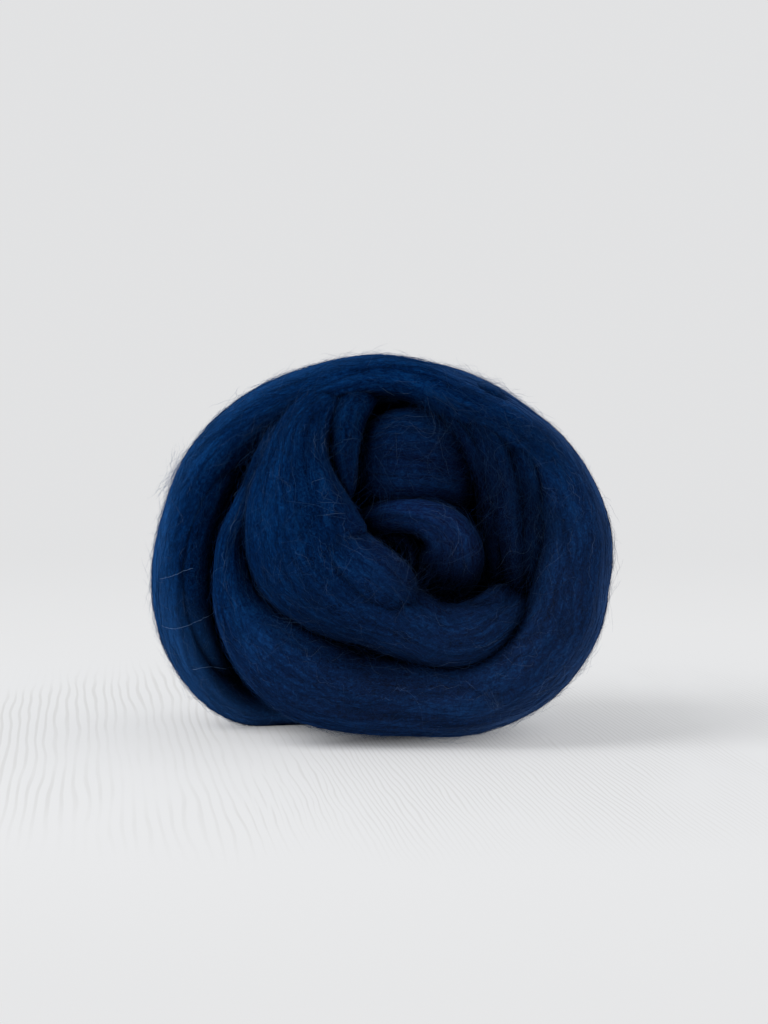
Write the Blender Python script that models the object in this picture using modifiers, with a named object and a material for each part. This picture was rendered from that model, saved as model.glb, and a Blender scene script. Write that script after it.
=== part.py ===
"""A ball of wool roving: one thick, soft band of combed fibre, wound into a ball and tucked in on
itself, with the inner folds of the winding showing on its front.

Metres, +Z up, front towards -Y. The origin is under the middle of the ball, on the surface that it
rests on. The winding is laid out in millimetres, seen from the front: x to the right, z up and
depth away from the viewer."""

import math
from collections import namedtuple

import bmesh
import bpy
from mathutils import Matrix, Vector

MM = 0.001

# The ball's outline, seen from the front: half an ellipse above its widest level, and a squarer
# curve below it, where the wool settles.
HALF_WIDTH = 62.5
WIDEST_LEVEL = 46.0
BALL_HEIGHT = 102.5
SETTLE = 1.8  # the wool that the ball's own weight presses flat under it
UPPER_POWER = 2.0
LOWER_POWER = 2.8

# The winding's own middle, placed so that the finished ball is centred on the origin.
MIDDLE_X = 0.7
MIDDLE_DEPTH = 0.6

# The tightly wound inside of the ball, under the bands: an ellipsoid.
CORE_HALF_SIZE = (50.0, 33.0, 41.0)
CORE_CENTRE = (0.0, 9.0, 50.0)
CORE_SEGMENTS = 48
CORE_RINGS = 24

# The outer turns. Each row is one station of a band's middle line.
#   turn: degrees round the face, anticlockwise from the right, counting on past each full turn
#   inset: how far the middle line lies inside the outline
#   depth: place along Y
#   half_width, half_thick: the band's oval section, along the surface and through it
OuterRow = namedtuple("OuterRow", ("turn", "inset", "depth", "half_width", "half_thick"))
LONG_BAND = (
    # from under the upper left of the lobe, down the left of the face and round it
    (137, 18.4, -18, 3, 3.0),
    (149, 21.1, -25, 3.2, 3.2),
    (159, 22.2, -26, 3.4, 3.4),
    (170, 22.3, -25, 4, 3.9),
    (182, 23.4, -25, 5.3, 5.1),
    (194, 24.9, -26.5, 7.1, 6.6),
    (206, 26.3, -28, 9.8, 8.6),
    (220, 25.3, -29.5, 12.4, 10.8),
    (238, 20.3, -30, 13.6, 11.2),
    (258, 16.4, -30, 12.6, 10.6),
    (283, 15.5, -30, 11.8, 10.5),
    (305, 15.5, -30, 12, 10.5),
    (325, 16.8, -29.5, 12.2, 10.8),
    (342, 14.7, -27.5, 11.6, 10.4),
    (356, 11.8, -25.5, 10.8, 9.8),
    (369, 10.3, -23.5, 10, 9.0),
    (383, 9.4, -21.5, 8.8, 7.8),
    (396, 9.2, -19.5, 8.4, 6.8),
    (410, 9, -17, 8.8, 6.4),
    (424, 8.2, -14.5, 9.4, 6.0),
    (438, 6.7, -12.5, 9.6, 5.1),
    (452, 6.2, -11, 11, 5.0),
    # over the top and down the outer left
    (469, 6.4, -9, 12, 5.4),
    (489, 7, -7, 12, 6.5),
    (509, 7.5, -5, 12, 7.5),
    (528, 7.5, -4, 12.5, 7.5),
    (546, 7, -2, 12.5, 7.5),
    (563, 8, 4, 13, 8.0),
    (578, 7, 11, 13, 8.5),
    (592, 8.4, 17, 13, 9.0),
    (611, 8.5, 19, 13, 9.0),
    (645, 9.0, 20, 14, 10.0),
    (675, 12.0, 21, 15, 10.0),
    (700, 12.8, 23, 15, 10.0),
    (720, 11.0, 23, 15, 10.0),
    (745, 10.5, 21, 15, 9.5),
    (768, 10.0, 19, 15, 9.0),
    (792, 9.0, 18, 15, 9.0),
    # over the top again, then round the back in a closing spiral
    (821, 9.5, 18, 15, 9.0),
    (850, 11.5, 20, 15, 9.0),
    (878, 12.5, 23, 15, 9.5),
    (903, 12.5, 26, 15, 10.0),
    (927, 12.5, 29, 15, 10.0),
    (948, 11.0, 31, 15, 9.5),
    (974, 10.0, 32, 15, 9.0),
    (1008, 12.5, 32, 14, 9.0),
    (1040, 17.0, 31, 14, 9.0),
    (1064, 18.0, 31, 14, 9.0),
    (1090, 17.5, 31, 13, 9.0),
    (1115, 18.0, 30, 13, 9.0),
    (1142, 20.0, 31, 13, 9.0),
    (1175, 25.0, 33, 12, 8.5),
    (1209, 31.0, 35, 12, 8.0),
    (1253, 37.0, 36, 12, 8.0),
    (1299, 38.0, 36, 11, 7.0),
    (1349, 34.0, 35, 10, 6.0),
    (1385, 36.0, 33, 8, 5.0),
)
UNDER_BAND = (
    # an earlier turn, which shows on the right and underneath, between the other two
    (180, 29.0, -10, 8, 6.0),
    (205, 26.0, -13, 10, 8.0),
    (230, 22.5, -14, 11, 8.5),
    (250, 17.5, -13, 12, 8.5),
    (270, 12.0, -11, 13, 8.5),
    (295, 11.0, -8, 13, 8.5),
    (320, 12.4, -5, 13, 8.5),
    (345, 12.7, -2, 13, 8.5),
    (370, 12.0, 0, 13, 8.5),
    (395, 11.5, 2, 12, 8.0),
    (420, 11.0, 4, 10, 6.0),
    (445, 12.0, 4, 8, 5.0),
)
LEFT_FOLD = (
    # a narrower fold that lies along the front of the outer left
    (475, 4.2, -2, 3, 3.0),
    (484, 7.1, -5, 3.5, 3.3),
    (496, 10.1, -8, 4, 3.8),
    (509, 12.4, -10, 4.2, 4.0),
    (522, 13.2, -12, 4.2, 4.0),
    (534, 12.9, -13, 4, 3.8),
    (544, 12.4, -12.5, 4, 3.8),
    (555, 11.7, -9.5, 4, 3.8),
    (566, 10.1, -4, 4, 3.8),
    (577, 6.4, 4, 4, 3.8),
    (588, 6, 12, 3, 3.0),
)

# The folds on the face and the band that crosses the back, a row for each section, in x, depth and
# z. The last value of each fold is the point that its section faces away from.
FoldRow = namedtuple("FoldRow", ("x", "depth", "z", "half_width", "half_thick"))
FOLDS = {
    "lobe": (
        (
            (-15.4, 6, 95, 3, 3.0),
            (-17.3, -6, 92, 4.2, 4.2),
            (-20.4, -18.5, 84.6, 5.3, 6.5),
            (-21.9, -28, 76.1, 8.3, 9.5),
            (-22.3, -31.5, 67.1, 12.4, 11.5),
            (-20.9, -33.5, 58.1, 15, 13.0),
            (-17.5, -35, 49.1, 15.8, 13.5),
            (-10.5, -35.3, 41.9, 13.2, 13.3),
            (-1.2, -35, 37, 10.6, 12.5),
            (6.8, -35, 32.6, 8.9, 12.0),
            (14.1, -34.5, 29.7, 8.1, 11.5),
            (21.3, -34, 30.7, 7.8, 10.5),
            (26.6, -31.5, 34.6, 6.8, 9.2),
            (30, -26, 38.5, 5.4, 7.4),
            (32.2, -18, 42.6, 4, 5.0),
            (33.6, -11, 46.8, 3, 3.4),
        ),
        (-4, 40, 53),
    ),
    "nose": (
        (
            (-15.5, -34, 56.8, 7, 12.5),
            (-9, -36, 49.2, 8.6, 12.8),
            (-2.8, -36.5, 44.1, 9, 12.5),
            (2.4, -36.2, 40.4, 8.6, 11.4),
            (6.3, -33, 37.8, 6.5, 8.0),
        ),
        (-8, 40, 50),
    ),
    "inner_turn": (
        (
            (-14, -8, 88, 7, 6.0),
            (-20, -16, 74, 12, 9.0),
            (-20, -18, 58, 14, 10.0),
            (-12, -18, 42, 13, 10.0),
            (3, -18, 30, 12, 9.0),
            (20, -17, 30, 10, 8.0),
            (33, -14, 40, 8, 7.0),
        ),
        (0, 40, 52),
    ),
    "thumb": (
        (
            (-7, -4, 69, 11, 5.0),
            (-2.6, -13, 71.5, 14, 8.0),
            (2.7, -18.5, 72.5, 15.8, 10.0),
            (8.8, -20.5, 72.5, 16, 10.5),
            (14.4, -18, 71.5, 15, 9.5),
            (18.9, -10, 69, 12, 7.0),
            (21.4, 0, 66, 9, 5.0),
        ),
        (5, 40, 52),
    ),
    "coil": (
        (
            (-8.5, -16, 55.2, 4, 4.0),
            (-3.1, -24, 58.1, 4.3, 4.8),
            (2.2, -28, 59.9, 4.5, 5.5),
            (7.6, -30, 60.2, 4.6, 6.0),
            (12.8, -31, 59, 5.4, 6.5),
            (17, -30.5, 55.6, 7, 7.0),
            (18.4, -28, 50.7, 8.6, 7.0),
            (18, -22, 45, 8.4, 6.5),
            (16.6, -14, 39, 6.5, 5.0),
        ),
        (10, 30, 48),
    ),
    "curl": (
        (
            (-2.6, -18, 48.9, 1.8, 2.0),
            (0.1, -24, 52.1, 2, 2.6),
            (3.2, -27, 54.4, 2, 3.0),
            (6.1, -27.5, 53.6, 2.1, 3.4),
            (7.7, -26, 50.4, 2.3, 3.6),
            (8.5, -24, 45.8, 2.3, 3.6),
            (9.9, -19, 40.1, 2, 3.0),
        ),
        (8, 40, 48),
    ),
    "heel": (
        (
            (19.9, -29, 29.4, 3.5, 3.5),
            (24.4, -34.5, 33.6, 4.6, 4.4),
            (27.5, -35, 37.7, 5.2, 5.0),
            (30, -31, 41.5, 4.6, 4.4),
            (31.7, -23, 45.6, 3.2, 3.2),
        ),
        (10, 40, 50),
    ),
    "right_fold": (
        (
            (31.7, -12, 89, 3, 3.0),
            (40.7, -18, 79.8, 4.4, 4.0),
            (46.5, -22.5, 69.8, 5.2, 4.4),
            (49.2, -25.5, 60.2, 5.6, 4.6),
            (49.6, -27.5, 50.7, 5.8, 4.8),
            (47.8, -29.5, 40.9, 5.6, 4.6),
            (43.3, -31.5, 32, 5, 4.4),
            (35.9, -33, 24.3, 3.5, 3.5),
        ),
        (20, 40, 50),
    ),
    "strand_1": (
        (
            (3.6, -3, 94.8, 2.4, 2.4),
            (8.9, -10, 91.8, 2.6, 2.6),
            (14.5, -15, 89.3, 2.8, 2.7),
            (18.6, -18.3, 84.3, 2.9, 4.5),
            (21.5, -18.6, 79.6, 2.9, 6.2),
            (24.1, -19.6, 75.4, 2.9, 6.2),
            (27.2, -20.6, 70.4, 2.9, 6.2),
            (28.8, -20.6, 63.6, 3, 6.2),
            (29.6, -19.6, 55.6, 3, 6.2),
            (31.1, -16.6, 48, 3, 6.0),
            (32.6, -11.6, 41, 2.6, 5.8),
        ),
        (10, 40, 52),
    ),
    "strand_2": (
        (
            (13, -7, 94.2, 3.4, 3.2),
            (19.6, -14, 89.9, 3.8, 3.4),
            (24.4, -18.3, 85.6, 4.2, 5.3),
            (27.5, -19.6, 79.4, 4.4, 7.2),
            (30, -21.6, 73.1, 4.4, 7.2),
            (31.9, -22.1, 65.8, 4.4, 7.2),
            (32.9, -21.6, 57.9, 4.2, 7.0),
            (33.8, -19.6, 50.4, 4, 6.8),
            (34.6, -15.6, 42.1, 3.4, 6.4),
        ),
        (10, 40, 52),
    ),
    "strand_3": (
        (
            (21.1, -9, 93.7, 4, 3.6),
            (27.8, -16, 89.9, 4.6, 4.0),
            (32.6, -19.3, 83.5, 4.8, 5.9),
            (35.9, -19.6, 76.7, 4.8, 7.6),
            (37.8, -19.6, 69.3, 4.4, 7.4),
            (38.2, -17.6, 62.6, 4, 7.0),
            (37.8, -14.6, 54.5, 4, 6.8),
            (37.2, -11.6, 45, 3.4, 6.4),
        ),
        (10, 40, 52),
    ),
    "gather_1": (
        (
            (-3.5, 7, 95, 3, 3.0),
            (-5.9, -2, 93.2, 4.4, 3.2),
            (-8.3, -11, 89.5, 4.4, 3.6),
            (-10.2, -21, 83, 3.9, 4.0),
            (-10.9, -27, 76.1, 3.5, 4.0),
            (-10.1, -30, 69.6, 3.2, 3.6),
            (-8, -31, 63.9, 2.6, 2.6),
        ),
        (-4, 40, 50),
    ),
    "gather_2": (
        (
            (-21, 0, 96.3, 3, 3.0),
            (-23.2, -8, 90.9, 3.2, 3.2),
            (-26.1, -14, 83.7, 3.4, 3.4),
            (-29.1, -19, 77.1, 3.6, 3.6),
            (-31.6, -23, 71.5, 3.6, 3.6),
            (-33.6, -24.5, 65.2, 3.4, 3.4),
            (-34.8, -22, 58.2, 2.6, 2.6),
        ),
        (-4, 40, 50),
    ),
    "back_crossing": (
        (
            (36, 18, 86, 8, 5.0),
            (30, 31, 77, 12, 7.0),
            (17, 38, 63, 14, 8.0),
            (1, 39.5, 47, 15, 8.0),
            (-15, 39, 31, 14, 8.0),
            (-29, 33, 18, 12, 7.0),
            (-38, 24, 12, 8, 5.0),
        ),
        (0, -10, 50),
    ),
}
OUTER_BANDS = {"long_band": LONG_BAND, "under_band": UNDER_BAND, "left_fold": LEFT_FOLD}
WINDING_CENTRE = (0, 8, 50)  # what the outer turns face away from

STEPS_PER_ROW = 5
SIDES = 20

# The finished surface: one skin over all the bands.
SKIN_VOXEL = 0.0017
SKIN_SMOOTHING = 2
SKIN_KEPT = 0.20  # share of the skin's faces that the simplified solid keeps
FLOOR_SIZE = 250.0  # the block that cuts the flat spot, well wider than the ball

WOOL_COLOUR = (0.006, 0.025, 0.10, 1.0)
WOOL_ROUGHNESS = 0.9


def clear_scene():
    for obj in list(bpy.data.objects):
        bpy.data.objects.remove(obj, do_unlink=True)


def make_collection(name):
    collection = bpy.data.collections.new(name)
    bpy.context.scene.collection.children.link(collection)
    return collection


def wool_material():
    material = bpy.data.materials.new("navy_wool")
    material.use_nodes = True
    shader = material.node_tree.nodes["Principled BSDF"]
    shader.inputs["Base Color"].default_value = WOOL_COLOUR
    shader.inputs["Roughness"].default_value = WOOL_ROUGHNESS
    shader.inputs["Metallic"].default_value = 0.0
    return material


def outline_radius(turn):
    """Distance in millimetres from the face's centre to the ball's outline, at a turn in degrees."""
    angle = math.radians(turn)
    if math.sin(angle) > 0:
        half_height, power = BALL_HEIGHT - WIDEST_LEVEL, UPPER_POWER
    else:
        half_height, power = WIDEST_LEVEL + SETTLE, LOWER_POWER
    across = abs(math.cos(angle)) / HALF_WIDTH
    up = abs(math.sin(angle)) / half_height
    return (across**power + up**power) ** (-1 / power)


def place_outer_row(row):
    """A row of an outer band, as a row of a fold."""
    radius = outline_radius(row.turn) - row.inset
    x = radius * math.cos(math.radians(row.turn))
    z = WIDEST_LEVEL + radius * math.sin(math.radians(row.turn))
    return FoldRow(x, row.depth, z, row.half_width, row.half_thick)


def curve_value(before, start, end, after, part):
    """One column of the smooth curve between two rows, given the rows on either side of them."""
    bend = 2 * before - 5 * start + 4 * end - after
    twist = 3 * (start - end) + after - before
    return 0.5 * (2 * start + part * (end - before + part * (bend + part * twist)))


def smooth_rows(rows):
    """The rows with STEPS_PER_ROW steps between each two, on a smooth curve through all of them."""
    padded = [rows[0], *rows, rows[-1]]
    smooth = []
    for i in range(len(rows) - 1):
        for step in range(STEPS_PER_ROW):
            part = step / STEPS_PER_ROW
            values = [curve_value(*column, part) for column in zip(*padded[i : i + 4])]
            smooth.append(FoldRow(*values))
    return [*smooth, rows[-1]]


def add_band(mesh, rows, faces_away_from):
    """A closed tube of oval section along the rows, its thickness pointing away from a point."""
    rows = smooth_rows(rows)
    middles = [Vector((row.x, row.depth, row.z)) for row in rows]
    rings = []
    for i, row in enumerate(rows):
        along = (middles[min(i + 1, len(rows) - 1)] - middles[max(i - 1, 0)]).normalized()
        outward = middles[i] - Vector(faces_away_from)
        outward = (outward - along * outward.dot(along)).normalized()
        across = along.cross(outward)
        ring = []
        for side in range(SIDES):
            angle = 2 * math.pi * side / SIDES
            sideways = across * row.half_width * math.cos(angle)
            through = outward * row.half_thick * math.sin(angle)
            ring.append(mesh.verts.new((middles[i] + sideways + through) * MM))
        rings.append(ring)
    for ring, following in zip(rings, rings[1:]):
        for side in range(SIDES):
            onward = (side + 1) % SIDES
            mesh.faces.new((ring[side], ring[onward], following[onward], following[side]))
    mesh.faces.new(reversed(rings[0]))
    mesh.faces.new(rings[-1])


def add_core(mesh):
    half_size = Matrix.Diagonal((*(size * MM for size in CORE_HALF_SIZE), 1.0))
    bmesh.ops.create_uvsphere(
        mesh,
        u_segments=CORE_SEGMENTS,
        v_segments=CORE_RINGS,
        radius=1.0,
        matrix=Matrix.Translation(Vector(CORE_CENTRE) * MM) @ half_size,
    )


def wind_bands():
    """The core and every band, still separate closed shapes that run into each other."""
    mesh = bmesh.new()
    add_core(mesh)
    for rows in OUTER_BANDS.values():
        add_band(mesh, [place_outer_row(OuterRow(*row)) for row in rows], WINDING_CENTRE)
    for rows, faces_away_from in FOLDS.values():
        add_band(mesh, [FoldRow(*row) for row in rows], faces_away_from)
    bmesh.ops.recalc_face_normals(mesh, faces=mesh.faces)
    shift = Vector((MIDDLE_X, MIDDLE_DEPTH, 0)) * MM
    bmesh.ops.translate(mesh, verts=mesh.verts, vec=shift)
    data = bpy.data.meshes.new("winding")
    mesh.to_mesh(data)
    mesh.free()
    return data


def connected_parts(mesh):
    """The mesh's vertices, as one list for each connected part, the largest first."""
    left = set(mesh.verts)
    parts = []
    while left:
        waiting = [left.pop()]
        part = []
        while waiting:
            vertex = waiting.pop()
            part.append(vertex)
            for edge in vertex.link_edges:
                other = edge.other_vert(vertex)
                if other in left:
                    left.remove(other)
                    waiting.append(other)
        parts.append(part)
    return sorted(parts, key=len, reverse=True)


def skin_over(obj):
    """Turns the wound bands into one solid: a single outer skin, with the gaps inside it filled."""
    remesh = obj.modifiers.new("skin", "REMESH")
    remesh.mode = "VOXEL"
    remesh.voxel_size = SKIN_VOXEL
    evaluated = obj.evaluated_get(bpy.context.evaluated_depsgraph_get())
    skin = bpy.data.meshes.new_from_object(evaluated)
    obj.modifiers.remove(remesh)
    mesh = bmesh.new()
    mesh.from_mesh(skin)
    for part in connected_parts(mesh)[1:]:
        bmesh.ops.delete(mesh, geom=part, context="VERTS")
    mesh.to_mesh(skin)
    mesh.free()
    obj.data = skin


def make_floor_cutter(collection):
    """A block under the ball, with its top on the surface that the ball rests on."""
    size = FLOOR_SIZE * MM
    mesh = bmesh.new()
    bmesh.ops.create_cube(mesh, size=size, matrix=Matrix.Translation((0, 0, -size / 2)))
    data = bpy.data.meshes.new("floor_cutter")
    mesh.to_mesh(data)
    mesh.free()
    cutter = bpy.data.objects.new("floor_cutter", data)
    cutter.hide_render = True
    cutter.display_type = "WIRE"
    collection.objects.link(cutter)
    return cutter


def make_roving_ball(collection, cutter):
    ball = bpy.data.objects.new("roving_ball", wind_bands())
    collection.objects.link(ball)
    skin_over(ball)
    ball.data.materials.append(wool_material())
    ball.data.shade_smooth()

    smooth = ball.modifiers.new("soften", "SMOOTH")
    smooth.iterations = SKIN_SMOOTHING
    simplify = ball.modifiers.new("simplify", "DECIMATE")
    simplify.ratio = SKIN_KEPT
    flat_spot = ball.modifiers.new("flat_spot", "BOOLEAN")
    flat_spot.operation = "DIFFERENCE"
    flat_spot.object = cutter


clear_scene()
make_roving_ball(make_collection("wool_roving"), make_floor_cutter(make_collection("cutters")))
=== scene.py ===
"""A ball of navy wool roving, dressed: the wound bands of combed fibre with their grooves, the
combed fibres that lie on them, and the loose, crinkled hairs that stand off the surface.

The winding is laid out in millimetres, seen from the front: x to the right, z up and depth away
from the viewer. The finished meshes are in metres, in the frame's own axes."""

import math

import bpy
import numpy as np
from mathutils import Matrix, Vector, noise
from mathutils.bvhtree import BVHTree

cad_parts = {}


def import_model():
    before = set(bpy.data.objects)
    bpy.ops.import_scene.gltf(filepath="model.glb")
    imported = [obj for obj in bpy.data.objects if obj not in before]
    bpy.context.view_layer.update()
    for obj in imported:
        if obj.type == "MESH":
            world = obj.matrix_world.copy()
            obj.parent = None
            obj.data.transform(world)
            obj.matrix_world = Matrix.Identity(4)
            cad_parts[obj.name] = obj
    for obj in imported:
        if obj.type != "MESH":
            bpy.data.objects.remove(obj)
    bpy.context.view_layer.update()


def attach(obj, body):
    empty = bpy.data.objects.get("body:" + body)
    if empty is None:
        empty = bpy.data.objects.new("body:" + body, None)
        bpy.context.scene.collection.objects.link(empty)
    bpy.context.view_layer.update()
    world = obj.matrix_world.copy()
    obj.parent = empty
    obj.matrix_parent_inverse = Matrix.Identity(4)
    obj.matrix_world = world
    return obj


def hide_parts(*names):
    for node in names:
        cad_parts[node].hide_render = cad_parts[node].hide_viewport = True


MM = 0.001
SEED = 20

# ---------------------------------------------------------------------------
# The winding, as the solid ball has it
# ---------------------------------------------------------------------------

HALF_WIDTH = 62.5
WIDEST_LEVEL = 46.0
BALL_HEIGHT = 102.5
SETTLE = 1.8
UPPER_POWER = 2.0
LOWER_POWER = 2.8
MIDDLE = np.array((0.7, 0.6, 0.0))

# the inner turns that the wraps are wound on, as one plain body
CORE_HALF_SIZE = (50.0, 33.0, 41.0)
CORE_CENTRE = (0.0, 9.0, 50.0)
CORE_GIRTH = (250.0, 120.0)  # its map's size round it and up it
CORE_LIT = 0.8  # painted light at the back, where the core shows between the wraps; in front it is painted dark as shade
CORE_LIT_DEPTH = 30.0  # the depth from which it is lit so

# turn in degrees round the face, inset from the outline, depth, half_width, half_thick
LONG_BAND = (
    # from under the upper left of the lobe, down the left of the face and round it
    (137, 18.4, -18, 3, 3.0),
    (149, 21.1, -25, 3.2, 3.2),
    (159, 22.2, -26, 3.4, 3.4),
    (170, 22.3, -25, 4, 3.9),
    (182, 23.4, -25, 5.3, 5.1),
    (194, 24.9, -26.5, 7.1, 6.6),
    (206, 26.8, -28, 9.2, 8.6),
    (220, 26.0, -29.5, 11.8, 10.8),
    (238, 21.0, -30, 13.0, 11.2),
    (258, 16.8, -30, 12.3, 10.6),
    (283, 15.5, -30, 11.8, 10.5),
    (305, 15.5, -30, 12, 10.5),
    (325, 16.8, -29.5, 12.2, 10.8),
    (342, 14.7, -27.5, 11.6, 10.4),
    (356, 12.6, -25.5, 10.8, 9.8),
    (369, 10.3, -23.5, 10, 9.0),
    (383, 8.8, -21.5, 8.8, 7.8),
    (396, 8.0, -19.5, 8.4, 6.8),
    (410, 8.6, -17, 8.8, 6.4),
    (424, 8.8, -14.5, 9.4, 6.0),
    (438, 6.6, -12.5, 8.6, 5.1),
    (452, 5.8, -11, 9.6, 5.0),
    # over the top and down the outer left
    (469, 6.6, -9, 11.2, 5.4),
    (489, 6.8, -7, 11, 6.5),
    (509, 7.8, -5, 10.2, 7.5),
    (528, 8.6, -4, 11, 7.5),
    (546, 6.7, -2, 12.5, 7.0),
    (563, 5.6, 3, 13, 6.4),
    (578, 4.4, 9, 13, 6.4),
    (592, 6.8, 16, 13, 7.6),
    (611, 8.5, 19, 13, 9.0),
    (645, 9.0, 20, 14, 10.0),
    (675, 12.0, 21, 15, 10.0),
    (700, 12.8, 23, 15, 10.0),
    (720, 11.6, 23, 15, 10.0),
    (745, 10.0, 21, 15, 9.5),
    (768, 9.6, 19, 15, 9.0),
    (792, 9.6, 18, 15, 9.0),
    # over the top again, then round the back in a closing spiral
    (821, 10.2, 18, 15, 9.0),
    (850, 12.2, 20, 15, 9.0),
    (878, 14.8, 23, 15, 9.5),
    (903, 12.5, 26, 15, 10.0),
    (927, 12.5, 29, 15, 10.0),
    (948, 11.0, 31, 15, 9.5),
    (974, 10.0, 32, 15, 9.0),
    (1008, 12.5, 32, 14, 9.0),
    (1040, 17.0, 31, 14, 9.0),
    (1064, 18.0, 31, 14, 9.0),
    (1090, 17.5, 31, 13, 9.0),
    (1115, 18.0, 30, 13, 9.0),
    (1142, 20.0, 31, 13, 9.0),
    (1175, 25.0, 33, 12, 8.5),
    (1209, 31.0, 35, 12, 8.0),
    (1253, 37.0, 36, 12, 8.0),
    (1299, 38.0, 36, 11, 7.0),
    (1349, 34.0, 35, 10, 6.0),
    (1385, 36.0, 33, 8, 5.0),
)
UNDER_BAND = (
    (180, 29.0, -5, 8, 6.0),
    (205, 26.0, -6, 10, 7.5),
    (230, 22.5, -7, 11, 8.0),
    (250, 17.5, -8, 12, 8.5),
    (270, 12.0, -8, 13, 8.5),
    (295, 11.0, -8, 13, 8.5),
    (320, 12.4, -5, 13, 8.5),
    (345, 12.7, -2, 13, 8.5),
    (370, 12.0, 0, 13, 8.5),
    (395, 11.5, 2, 12, 8.0),
    (420, 11.0, 4, 10, 6.0),
    (445, 12.0, 4, 8, 5.0),
)

LEFT_FOLD = (
    (475, 4.2, -2, 3, 3.0),
    (484, 7.1, -5, 3.5, 3.3),
    (496, 10.1, -8, 4, 3.8),
    (509, 12.4, -10, 4.2, 4.0),
    (522, 13.2, -12, 4.2, 4.0),
    (534, 12.9, -13, 4, 3.8),
    (544, 12.4, -12.5, 4, 3.8),
    (555, 11.7, -9.5, 4, 3.8),
    (566, 10.1, -4, 4, 3.8),
    (577, 6.4, 4, 4, 3.8),
    (588, 6, 12, 3, 3.0),
)
RIGHT_FOLD = (
    (30.3, -12.5, 87.2, 2.6, 2.4),
    (40.7, -18, 79.8, 4.4, 4.0),
    (46.5, -22.5, 69.8, 5.2, 4.4),
    (49.2, -25.5, 60.2, 5.6, 4.6),
    (49.6, -27.5, 50.7, 5.8, 4.8),
    (47.8, -29.5, 40.9, 5.6, 4.6),
    (43.3, -31.5, 32, 5, 4.4),
    (35.9, -33, 24.3, 3.5, 3.5),
)

# x, depth, z, half_width, half_thick; then the point that the fold's section faces away from
LOBE = (
    (-6.5, -10.5, 97.5, 2.5, 2.2),
    (-11.5, -13.5, 94, 4.5, 3.0),
    (-16.5, -17, 88.8, 6.4, 4.6),
    (-20, -22, 82.8, 7.4, 7.0),
    (-21.9, -28, 76.1, 8.6, 9.5),
    (-22.3, -31.5, 67.1, 12.4, 11.5),
    (-20.9, -33.5, 58.1, 15, 13.0),
    (-17.5, -35, 49.1, 15.8, 13.5),
    (-10.5, -35.3, 41.9, 13.2, 13.3),
    (-1.2, -35, 37, 10.6, 12.5),
    (6.8, -35, 32.6, 8.9, 12.0),
    (14.1, -34.5, 29.7, 8.1, 11.5),
    (21.3, -34, 29.9, 7.6, 10.5),
    (27, -31.5, 32.8, 6.6, 9.2),
    (31, -26, 36, 5.2, 7.4),
    (33.5, -18, 40, 4, 5.0),
    (35, -11, 44, 3, 3.4),
)
NOSE = (
    (-15.5, -34, 56.8, 7, 12.5),
    (-9, -36, 49.2, 8.6, 12.8),
    (-2.8, -36.5, 44.1, 9, 12.5),
    (2.4, -36.2, 40.4, 8.6, 11.4),
    (6.3, -33, 37.8, 6.5, 8.0),
)
INNER_TURN = (
    (-14, -8, 88, 7, 6.0),
    (-20, -16, 74, 12, 9.0),
    (-20, -18, 58, 14, 10.0),
    (-12, -18, 42, 13, 10.0),
    (3, -18, 30, 12, 9.0),
    (20, -17, 30, 10, 8.0),
    (33, -14, 40, 8, 7.0),
)
THUMB = (
    (-7, -4, 69, 11, 5.0),
    (-2.6, -13, 71.5, 14, 8.0),
    (2.7, -18.5, 72.5, 15.8, 10.0),
    (8.8, -20.5, 72.5, 16, 10.5),
    (14.4, -18, 71.5, 15, 9.5),
    (18.9, -10, 69, 12, 7.0),
    (21.4, 0, 66, 9, 5.0),
)
COIL = (
    (-8.5, -16, 55.2, 4, 4.0),
    (-3.1, -24, 58.1, 4.3, 4.8),
    (2.2, -28, 59.9, 4.5, 5.5),
    (7.6, -30, 60.2, 4.6, 6.0),
    (12.8, -31, 59, 5.4, 6.5),
    (17, -30.5, 55.6, 7, 7.0),
    (18.4, -28, 50.7, 8.6, 7.0),
    (18, -22, 45, 8.4, 6.5),
    (16.6, -14, 39, 6.5, 5.0),
)
CURL = (
    (-2.6, -18, 48.9, 1.8, 2.0),
    (0.1, -24, 52.1, 2, 2.6),
    (3.2, -27, 54.4, 2, 3.0),
    (6.1, -27.5, 53.6, 2.1, 3.4),
    (7.7, -26, 50.4, 2.3, 3.6),
    (8.5, -24, 45.8, 2.3, 3.6),
    (9.9, -19, 40.1, 2, 3.0),
)
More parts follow.
